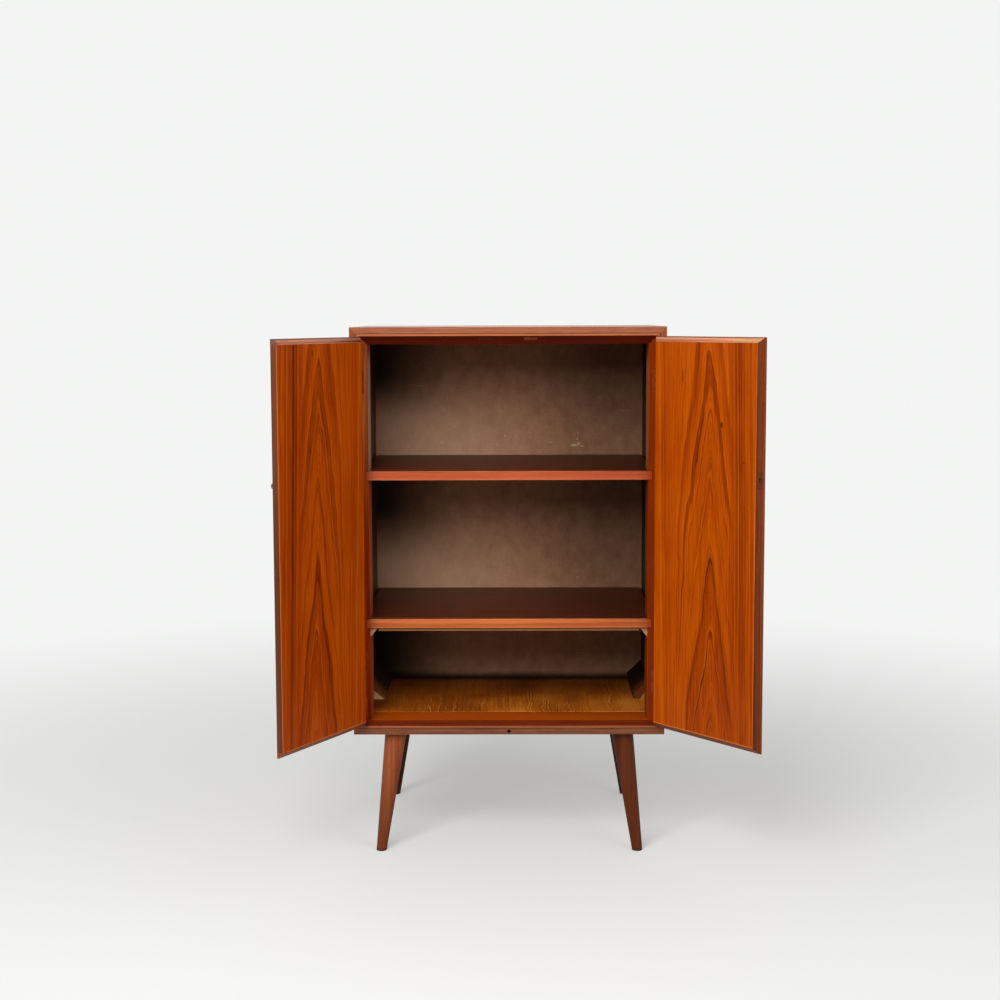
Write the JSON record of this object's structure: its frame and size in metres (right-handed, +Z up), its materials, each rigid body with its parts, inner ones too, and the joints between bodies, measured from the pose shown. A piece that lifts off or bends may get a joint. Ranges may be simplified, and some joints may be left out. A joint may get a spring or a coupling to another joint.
{
  "type": "cabinet",
  "caption": "Upright teak storage cabinet on splayed tapered legs, with shelves inside, hinged doors with bevelled edges, a key lock and ball catches, stored with its doors open.",
  "frame": {"origin": "on the floor under the middle of the carcase's plan", "axes": "+Z up, the doors face -Y, +X to the right as seen from the front"},
  "size_m": [1.0228, 0.7868, 1.185],
  "materials": {
    "teak_veneer": "oiled teak veneer on boards, worn satin",
    "solid_teak": "oiled solid teak, satin",
    "figured_veneer": "golden figured veneer, satin",
    "raw_softwood": "bare sawn softwood, matte",
    "hardboard": "brown hardboard, dull",
    "turned_leg_wood": "turned solid wood, dark oiled satin",
    "beech_dowel": "bare dowel, matte",
    "aged_brass": "aged brass, dull satin",
    "steel": "plain steel, slightly tarnished",
    "blued_steel": "dark bronzed steel"
  },
  "bodies": {
    "carcase": {"back_panel": "hardboard", "back_panel_screws": "steel", "bottom_frame_moulding": "solid_teak", "bottom_panel": "teak_veneer", "catch_springs": "steel", "floor_liner": "figured_veneer", "front_left_leg": "turned_leg_wood", "front_right_leg": "turned_leg_wood", "hinge_frame_screws": "aged_brass", "hinge_pins": "aged_brass", "left_ball_catch": "aged_brass", "left_floor_bearer": "raw_softwood", "left_floor_fillet": "raw_softwood", "left_frame_moulding": "solid_teak", "left_lower_hinge_frame_leaf": "aged_brass", "left_shelf_block": "raw_softwood", "left_side_panel": "teak_veneer", "left_upper_hinge_frame_leaf": "aged_brass", "leg_hanger_bolts": "steel", "lower_shelf": "teak_veneer", "lower_shelf_batten": "raw_softwood", "lower_shelf_lipping": "solid_teak", "rear_left_leg": "turned_leg_wood", "rear_right_leg": "turned_leg_wood", "right_ball_catch": "aged_brass", "right_floor_bearer": "raw_softwood", "right_floor_fillet": "raw_softwood", "right_frame_moulding": "solid_teak", "right_lower_hinge_frame_leaf": "aged_brass", "right_shelf_block": "raw_softwood", "right_side_panel": "teak_veneer", "right_upper_hinge_frame_leaf": "aged_brass", "shelf_pins": "beech_dowel", "top_frame_moulding": "solid_teak", "top_panel": "teak_veneer", "upper_shelf": "teak_veneer", "upper_shelf_lipping": "solid_teak"},
    "left_door": {"left_door_bottom_lipping": "solid_teak", "left_door_hinge_lipping": "solid_teak", "left_door_hinge_screws": "aged_brass", "left_door_lower_hinge_leaf": "aged_brass", "left_door_meeting_lipping": "solid_teak", "left_door_panel": "teak_veneer", "left_door_top_lipping": "solid_teak", "left_door_upper_hinge_leaf": "aged_brass", "lock_case": "blued_steel", "keyhole_escutcheon": "aged_brass"},
    "right_door": {"right_door_bottom_lipping": "solid_teak", "right_door_hinge_lipping": "solid_teak", "right_door_hinge_screws": "aged_brass", "right_door_lower_hinge_leaf": "aged_brass", "right_door_meeting_lipping": "solid_teak", "right_door_panel": "teak_veneer", "right_door_top_lipping": "solid_teak", "right_door_upper_hinge_leaf": "aged_brass", "lock_strike": "aged_brass"},
    "key": {"key": "steel"},
    "lock_bolt": {"lock_bolt": "steel"},
    "left_catch_ball": {"left_catch_ball": "steel"},
    "right_catch_ball": {"right_catch_ball": "steel"}
  },
  "joints": [
    {"name": "left_door_hinge", "type": "hinge", "parent": "carcase", "child": "left_door", "pos_m": [-0.3295, -0.2435, 0.7275], "axis": [0, 0, -1], "range_deg": [-118, 57]},
    {"name": "right_door_hinge", "type": "hinge", "parent": "carcase", "child": "right_door", "pos_m": [0.3295, -0.2435, 0.7275], "axis": [0, 0, 1], "range_deg": [-128.3, 46.7]},
    {"name": "key_turn", "type": "hinge", "parent": "left_door", "child": "key", "pos_m": [-0.47265, -0.51486, 0.8605], "axis": [0.8829, -0.4695, 0], "range_deg": [0, 180]},
    {"name": "lock_bolt_slide", "type": "slide", "parent": "left_door", "child": "lock_bolt", "axis": [-0.4695, -0.8829, 0], "range_m": [0, 0.01]},
    {"name": "left_catch_ball_slide", "type": "slide", "parent": "carcase", "child": "left_catch_ball", "axis": [0, 0.7071, 0.7071], "range_m": [0, 0.0015], "stiffness_N_per_m": 1500, "springref_m": -0.002},
    {"name": "right_catch_ball_slide", "type": "slide", "parent": "carcase", "child": "right_catch_ball", "axis": [0, 0.7071, 0.7071], "range_m": [0, 0.0015], "stiffness_N_per_m": 1500, "springref_m": -0.002}
  ],
  "couplings": [
    {"joint": "key_turn", "follows": "lock_bolt_slide", "rad_per_m": 314.16}
  ]
}
